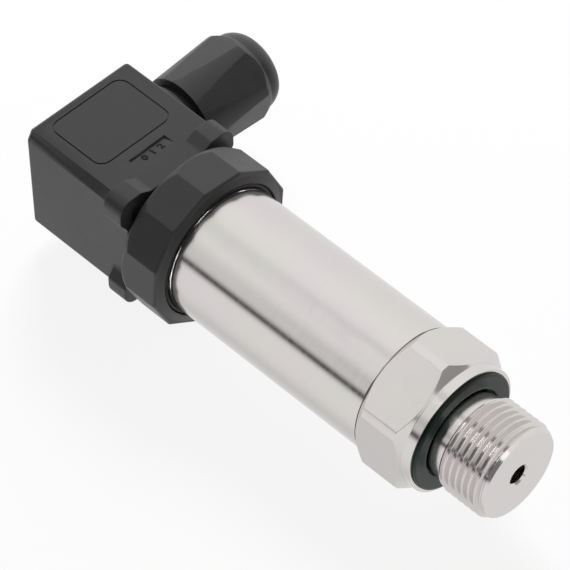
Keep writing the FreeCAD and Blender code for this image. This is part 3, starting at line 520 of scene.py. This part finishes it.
def numerals():
    """Three small plain numerals that stand out of the date window's sloped floor."""
    place = Matrix.Translation((WINDOW_MIDDLE_X, WINDOW_MIDDLE_Y, BODY_TOP - WINDOW_DEPTH / 2))
    place = place @ Matrix.Rotation(-WINDOW_SLOPE, 4, "Y") @ Matrix.Rotation(math.pi / 2, 4, "Z")
    pieces = []
    for k, numeral in enumerate(NUMERALS):
        curve = bpy.data.curves.new("numeral", "FONT")
        curve.body = numeral
        curve.size = NUMERAL_HEIGHT
        curve.extrude = NUMERAL_RISE
        curve.offset = NUMERAL_BOLD
        curve.align_x = "CENTER"
        curve.align_y = "CENTER"
        shape = bpy.data.objects.new("numeral", curve)
        bpy.context.scene.collection.objects.link(shape)
        bpy.context.view_layer.update()
        mesh = bpy.data.meshes.new_from_object(shape)
        bpy.data.objects.remove(shape)
        mesh.transform(place @ Matrix.Translation((NUMERAL_PITCH * (k - 1), 0, 0)))
        piece = bpy.data.objects.new(f"date_numeral_{k + 1}", mesh)
        bpy.context.scene.collection.objects.link(piece)
        pieces.append(piece)
    return pieces


def cap_edge(point):
    """True on the cap's outer edges behind its rim, while the cap still lies on the X axis."""
    return off_axis(point) > CAP_RIM_R + CAP_EDGE and point.x < CAP_TOP - MM


def gland_nut():
    """Cap nut with six flats that grow towards the front, and a domed front."""
    rows = milled([
        (CAP_REAR, CAP_REAR_R),
        (CAP_GRIP_TOP, CAP_FRONT_R),
        (CAP_DOME_START, CAP_DOME_R),
    ], CAP_FLATS / 2, CAP_SIDES, CAP_CORNER_ANGLE)
    for k in range(1, CAP_DOME_ROWS + 1):
        turn = CAP_DOME_TURN * k / CAP_DOME_ROWS
        share = math.sin(turn) / math.sin(CAP_DOME_TURN)
        drop = (1 - math.cos(turn)) / (1 - math.cos(CAP_DOME_TURN))
        rows.append(level(CAP_DOME_START + (CAP_TOP - CAP_DOME_START) * share,
                          CAP_DOME_R + (CAP_RIM_R - CAP_DOME_R) * drop))
    rows += [
        level(CAP_TOP, CAP_MOUTH_R + CAP_MOUTH_BEVEL),
        level(CAP_TOP - CAP_MOUTH_BEVEL, CAP_MOUTH_R),
        level(CAP_FLOOR, CAP_MOUTH_R),
        level(CAP_FLOOR, CAP_BORE_R),
        level(CAP_REAR, CAP_BORE_R),
    ]
    bm = grid(rows, even_angles(CAP_COLUMNS, CAP_CORNER_ANGLE))
    round_edges(bm, CAP_EDGE, CAP_LEAST_CREASE, cap_edge)
    bm.transform(Matrix.Translation((GLAND_X, 0, 0)) @ Matrix.Rotation(math.pi / 2, 4, "Z"))
    return smooth_mesh(bm, "gland_cap", CAP_SHARP_ANGLE)


# Materials

# A mix node's sockets by what it mixes: the share with both values, and then the result
MIX_SOCKETS = {"FLOAT": ((0, 2, 3), 0), "RGBA": ((0, 6, 7), 2)}


class Nodes:
    """A node tree, with short ways to add and join its nodes."""

    def __init__(self, tree):
        self.tree = tree

    def add(self, kind, inputs=None, **settings):
        """A new node with these settings, and a value or another node's output in each of these inputs."""
        node = self.tree.nodes.new(kind)
        for key, value in settings.items():
            setattr(node, key, value)
        for key, value in (inputs or {}).items():
            self.feed(node.inputs[key], value)
        return node

    def feed(self, socket, value):
        """Gives an input its value, or joins it to another node's output."""
        if isinstance(value, bpy.types.NodeSocket):
            self.tree.links.new(value, socket)
        else:
            socket.default_value = value

    def mix(self, share, low, high, kind="FLOAT"):
        """A number or a colour between two others."""
        node = self.add("ShaderNodeMix", data_type=kind)
        inputs, output = MIX_SOCKETS[kind]
        for number, value in zip(inputs, (share, low, high)):
            self.feed(node.inputs[number], value)
        return node.outputs[output]


class Shader(Nodes):
    """A material's nodes."""

    def __init__(self, name):
        self.material = bpy.data.materials.new(name)
        self.material.use_nodes = True
        super().__init__(self.material.node_tree)
        self.surface = self.tree.nodes["Principled BSDF"]
        self.place = self.add("ShaderNodeTexCoord").outputs["Object"]

    def set(self, **values):
        """Sets the surface's own sockets, with spaces in their names written as underscores."""
        for key, value in values.items():
            self.feed(self.surface.inputs[key.replace("_", " ")], value)

    def noise(self, size, detail=3.0, place=None):
        """Noise whose features are about as large as size."""
        inputs = {"Vector": place or self.place, "Scale": 1.0 / size, "Detail": detail, "Roughness": 0.55}
        return self.add("ShaderNodeTexNoise", inputs).outputs["Fac"]

    def spread(self, value, low, high):
        """A noise value spread between two numbers."""
        inputs = {"Value": value, "From Min": 0.3, "From Max": 0.7, "To Min": low, "To Max": high}
        return self.add("ShaderNodeMapRange", inputs).outputs["Result"]

    def between(self, share, low, high):
        """A colour between two others, each given by its parts or as a node's output."""
        colors = [(*color, 1.0) if isinstance(color, tuple) else color for color in (low, high)]
        return self.mix(share, *colors, "RGBA")

    def bump(self, height, depth, below=None):
        """A bump of this depth, on top of the one below where there is one."""
        inputs = {"Height": height, "Distance": depth, "Strength": 1.0}
        if below is not None:
            inputs["Normal"] = below
        return self.add("ShaderNodeBump", inputs).outputs["Normal"]


def scaled(color, factor):
    """A colour made lighter or darker."""
    return tuple(min(1.0, part * factor) for part in color)


def moulded(name, color, roughness, grain, depth, mottle=0.12, ior=1.5):
    """Moulded plastic or rubber: an even colour with a fine grain and soft patches of more or less shine."""
    shader = Shader(name)
    patches = shader.noise(MOULDED_PATCH)
    shader.set(
        IOR=ior,
        Base_Color=shader.between(patches, scaled(color, 1 - mottle), scaled(color, 1 + mottle)),
        Roughness=shader.spread(patches, roughness - 0.04, roughness + 0.04),
        Normal=shader.bump(shader.noise(grain, 2.0), depth),
    )
    return shader.material


def turned_coordinates(shader):
    """The place along the axis and off it, so that lines run round turned faces."""
    parts = shader.add("ShaderNodeSeparateXYZ", {"Vector": shader.place})
    flat = shader.add("ShaderNodeCombineXYZ", {"Y": parts.outputs["Y"], "Z": parts.outputs["Z"]})
    radius = shader.add("ShaderNodeVectorMath", {"Vector": flat.outputs["Vector"]}, operation="LENGTH")
    lines = shader.add("ShaderNodeCombineXYZ", {"X": parts.outputs["X"], "Y": radius.outputs["Value"]})
    return lines.outputs["Vector"]


def turned_steel(name, roughness, line_depth, wave_depth):
    """Turned stainless steel: fine lines round the axis, and a slight waviness."""
    shader = Shader(name)
    lines = shader.noise(TURNED_LINE, 4.0, turned_coordinates(shader))
    waves = shader.noise(TURNED_WAVE, 1.0)
    tint = shader.spread(shader.noise(TURNED_TINT, 1.0), 0.0, 1.0)
    dull = shader.between(tint, *STEEL_DULL)
    light = shader.between(tint, *STEEL_LIGHT)
    tangent = shader.add("ShaderNodeTangent", direction_type="RADIAL", axis="X").outputs["Tangent"]
    shader.set(
        Metallic=1.0,
        Base_Color=shader.between(lines, dull, light),
        Roughness=shader.spread(lines, roughness - 0.03, roughness + 0.05),
        Anisotropic=0.35,
        Anisotropic_Rotation=0.25,
        Tangent=tangent,
        Normal=shader.bump(lines, line_depth, shader.bump(waves, wave_depth)),
    )
    return shader.material


def plated(name, color, roughness):
    """A plated or milled metal part."""
    shader = Shader(name)
    patches = shader.noise(PLATED_PATCH)
    shader.set(
        Metallic=1.0,
        Base_Color=shader.between(patches, scaled(color, 0.92), scaled(color, 1.06)),
        Roughness=shader.spread(patches, roughness - 0.05, roughness + 0.05),
        Normal=shader.bump(shader.noise(PLATED_GRAIN), 0.002 * MM),
    )
    return shader.material


def all_materials():
    """Every finish under its slot's name."""
    return {
        "steel": turned_steel("turned steel", 0.15, 0.0002 * MM, 0.0015 * MM),
        "seal_green": moulded("green rubber", (0.009, 0.023, 0.018), 0.3, 0.25 * MM, 0.002 * MM, ior=1.33),
        "black_rubber": moulded("black rubber", (0.003, 0.003, 0.003), 0.16, 0.3 * MM, 0.0004 * MM, ior=1.25),
        "black_plastic": moulded("black nylon", (0.042, 0.042, 0.0423), 0.38, 0.14 * MM, 0.003 * MM, ior=1.4),
        "grey_plastic": moulded("grey nylon", (0.28, 0.29, 0.30), 0.45, 0.2 * MM, 0.004 * MM),
        "clear_film": moulded("amber film", (0.55, 0.42, 0.16), 0.3, 0.5 * MM, 0.002 * MM),
        "ceramic": moulded("fired alumina", (0.86, 0.85, 0.82), 0.35, 0.1 * MM, 0.002 * MM, mottle=0.03),
        "screw_steel": plated("zinc plated steel", (0.68, 0.68, 0.67), 0.32),
        "tinned_brass": plated("tin plated brass", (0.76, 0.73, 0.66), 0.34),
        "board_green": moulded("solder mask", (0.02, 0.16, 0.06), 0.28, 0.3 * MM, 0.002 * MM),
        "chip_black": moulded("chip body", (0.02, 0.02, 0.022), 0.5, 0.1 * MM, 0.003 * MM),
        "lead_red": moulded("lead insulation", (0.42, 0.03, 0.02), 0.35, 0.2 * MM, 0.002 * MM),
    }


# Studio

class World(Nodes):
    """The world's nodes."""

    def __init__(self):
        world = bpy.data.worlds.new("studio")
        bpy.context.scene.world = world
        world.use_nodes = True
        super().__init__(world.node_tree)


def room_tone(world, direction):
    """What gloss sees: tones round the X axis, with panels here and there."""
    parts = world.add("ShaderNodeSeparateXYZ", {"Vector": direction})
    angle = world.add("ShaderNodeMath", {0: parts.outputs["Z"], 1: parts.outputs["Y"]}, operation="ARCTAN2")
    share = world.add("ShaderNodeMapRange", {
        "Value": angle.outputs[0],
        "From Min": -math.pi,
        "From Max": math.pi,
    })
    ramp = world.add("ShaderNodeValToRGB", {"Fac": share.outputs["Result"]})
    elements = ramp.color_ramp.elements
    while len(elements) < len(ROOM_TONES):
        elements.new(0.5)
    for element, (degrees, tone) in zip(elements, ROOM_TONES):
        element.position = (degrees + 180) / 360
        element.color = (tone, tone, tone, 1.0)
    tone = world.add("ShaderNodeSeparateColor", {"Color": ramp.outputs["Color"]}).outputs[0]
    for centre, inner, outer, panel_tone in PANELS:
        away = world.add("ShaderNodeVectorMath", {0: direction, 1: Vector(centre).normalized()},
                         operation="DOT_PRODUCT").outputs["Value"]
        inside = world.add("ShaderNodeMapRange", {
            "Value": away,
            "From Min": math.cos(math.radians(outer)),
            "From Max": math.cos(math.radians(inner)),
        }, interpolation_type="SMOOTHSTEP").outputs["Result"]
        tone = world.mix(inside, tone, panel_tone)
    return tone


def studio_world():
    """A pale room: plain light on the part, white to the camera, and the room's tones in gloss."""
    world = World()
    direction = world.add("ShaderNodeTexCoord").outputs["Generated"]
    path = world.add("ShaderNodeLightPath")
    shiny = world.add("ShaderNodeMath", {
        0: path.outputs["Is Glossy Ray"],
        1: path.outputs["Is Transmission Ray"],
    }, operation="MAXIMUM")
    tone = world.mix(shiny.outputs[0], ROOM_LIGHT, room_tone(world, direction))
    tone = world.mix(path.outputs["Is Camera Ray"], tone, 1.0)
    world.feed(world.tree.nodes["Background"].inputs["Strength"], tone)
    world.feed(world.tree.nodes["Background"].inputs["Color"], (1.0, 1.0, 1.0, 1.0))
    bpy.context.scene.world.cycles.sampling_method = "NONE"


def floor_material():
    """White near the part, fading to the room's white, and clear from below."""
    shader = Shader("white floor")
    shader.set(Base_Color=FLOOR_COLOR, Roughness=1.0, Specular_IOR_Level=0.0)
    path = shader.add("ShaderNodeLightPath")
    away = shader.add("ShaderNodeVectorMath", {0: shader.place}, operation="LENGTH").outputs["Value"]
    faded = shader.add("ShaderNodeMapRange", {
        "Value": away,
        "From Min": FLOOR_FADE[0],
        "From Max": FLOOR_FADE[1],
        "To Min": FLOOR_WHITE,
        "To Max": 1.0,
    }, interpolation_type="SMOOTHSTEP").outputs["Result"]
    share = shader.add("ShaderNodeMath", {0: path.outputs["Is Camera Ray"], 1: faded}, operation="MULTIPLY")
    white = shader.add("ShaderNodeEmission", {"Color": (1.0, 1.0, 1.0, 1.0), "Strength": 1.0})
    mix = shader.add("ShaderNodeMixShader", {
        0: share.outputs[0],
        1: shader.surface.outputs[0],
        2: white.outputs[0],
    })
    clear = shader.add("ShaderNodeBsdfTransparent")
    below = shader.add("ShaderNodeNewGeometry").outputs["Backfacing"]
    one_sided = shader.add("ShaderNodeMixShader", {0: below, 1: mix.outputs[0], 2: clear.outputs[0]})
    shader.feed(shader.tree.nodes["Material Output"].inputs["Surface"], one_sided.outputs[0])
    return shader.material


def floor():
    """A white floor that keeps a soft shadow. In gloss the room takes its place."""
    bm = bmesh.new()
    bmesh.ops.create_circle(bm, cap_ends=True, segments=64, radius=FLOOR_R)
    mesh = bpy.data.meshes.new("floor")
    bm.to_mesh(mesh)
    bm.free()
    piece = bpy.data.objects.new("floor", mesh)
    piece.location = (CAMERA_AIM.x, CAMERA_AIM.y, cad_box[0].z)
    bpy.context.scene.collection.objects.link(piece)
    mesh.materials.append(floor_material())
    piece.visible_glossy = False
    piece.visible_shadow = False


def lamp(name, place, target, size, watts):
    """A soft lamp that is left out of gloss, which the world lights."""
    light = bpy.data.lights.new(name, "AREA")
    light.shape = "DISK"
    light.size = size
    light.energy = watts
    piece = bpy.data.objects.new(name, light)
    piece.location = place
    piece.rotation_euler = (target - Vector(place)).to_track_quat("-Z", "Y").to_euler()
    piece.visible_glossy = False
    bpy.context.scene.collection.objects.link(piece)
    return piece


def camera_direction():
    """The direction from the part to the camera."""
    return Vector((
        math.sin(CAMERA_AZIMUTH) * math.cos(CAMERA_ELEVATION),
        -math.cos(CAMERA_AZIMUTH) * math.cos(CAMERA_ELEVATION),
        math.sin(CAMERA_ELEVATION),
    ))


def ring_glints(ring):
    """Small lamps that only the ring mirrors, so that it gleams as in the photograph."""
    lit = bpy.data.collections.new("ring_only")
    lit.objects.link(ring)
    middle = Vector((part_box("nut_o_ring")[1].x, 0, 0))
    slope = math.radians(GLINT_SLOPE)
    view = camera_direction()
    for k, degrees in enumerate(GLINT_ANGLES):
        outward = Vector((0, math.cos(math.radians(degrees)), math.sin(math.radians(degrees))))
        normal = Vector((math.sin(slope), 0, 0)) + math.cos(slope) * outward
        mirrored = 2 * normal.dot(view) * normal - view
        spot = middle + TUBE_R * outward
        piece = lamp(f"glint_{k + 1}", spot + GLINT_DISTANCE * mirrored, spot, GLINT_SIZE, GLINT_WATTS)
        piece.visible_glossy = True
        piece.visible_diffuse = False
        piece.light_linking.receiver_collection = lit
        piece.light_linking.blocker_collection = lit


def camera():
    """The photograph's view."""
    away = camera_direction()
    right = Vector((0, 0, 1)).cross(away).normalized()
    up = away.cross(right)
    axes = Matrix((right, up, away)).transposed() @ Matrix.Rotation(CAMERA_ROLL, 3, "Z")
    data = bpy.data.cameras.new("camera")
    data.sensor_width = CAMERA_SENSOR
    data.lens = CAMERA_SENSOR * CAMERA_FOCAL_PIXELS / PHOTO_PIXELS
    data.clip_start = 0.01
    piece = bpy.data.objects.new("camera", data)
    piece.matrix_world = Matrix.Translation(CAMERA_AIM + away * CAMERA_DISTANCE) @ axes.to_4x4()
    bpy.context.scene.collection.objects.link(piece)
    bpy.context.scene.camera = piece


def place_pieces():
    """Builds the modelled pieces, with the body that each rides on and the node that it stands for."""
    made = [
        (process_connection(), "transmitter", "process_connection", "steel"),
        (profile_seal(), "transmitter", "profile_seal", "seal_green"),
        (housing_tube(), "transmitter", "housing_tube", "steel"),
        (union_nut(), "transmitter", "union_nut", "black_plastic"),
        (nut_o_ring(), "transmitter", "nut_o_ring", "black_rubber"),
        (plug_housing(), "plug", "plug_housing", "black_plastic"),
        (gland_nut(), "gland_nut", "gland_nut", "black_plastic"),
    ]
    # The numerals take the black rubber finish, darker than the plug around them: painted shade standing in
    # for the shadow in their raised strokes.
    made += [(piece, "plug", None, "black_rubber") for piece in numerals()]
    for piece, body, node, slot in made:
        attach(piece, body)
        if node:
            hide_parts(node)
        piece.data.materials.clear()
        piece.data.materials.append(MATERIALS[slot])


def dress_nodes():
    """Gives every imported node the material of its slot."""
    slots = {row["node"]: row["material_slot"] for row in frame["record"]["subparts"]}
    for name, piece in frame["nodes"].items():
        piece.data.materials.clear()
        piece.data.materials.append(MATERIALS[slots[name]])


MATERIALS = all_materials()
dress_nodes()
place_pieces()
studio_world()
floor()
for name, place, size, watts in LAMPS:
    lamp(name, place, CAMERA_AIM, size, watts)
ring_glints(bpy.data.objects["black_o_ring"])
camera()
bpy.context.scene.view_settings.view_transform = "Standard"
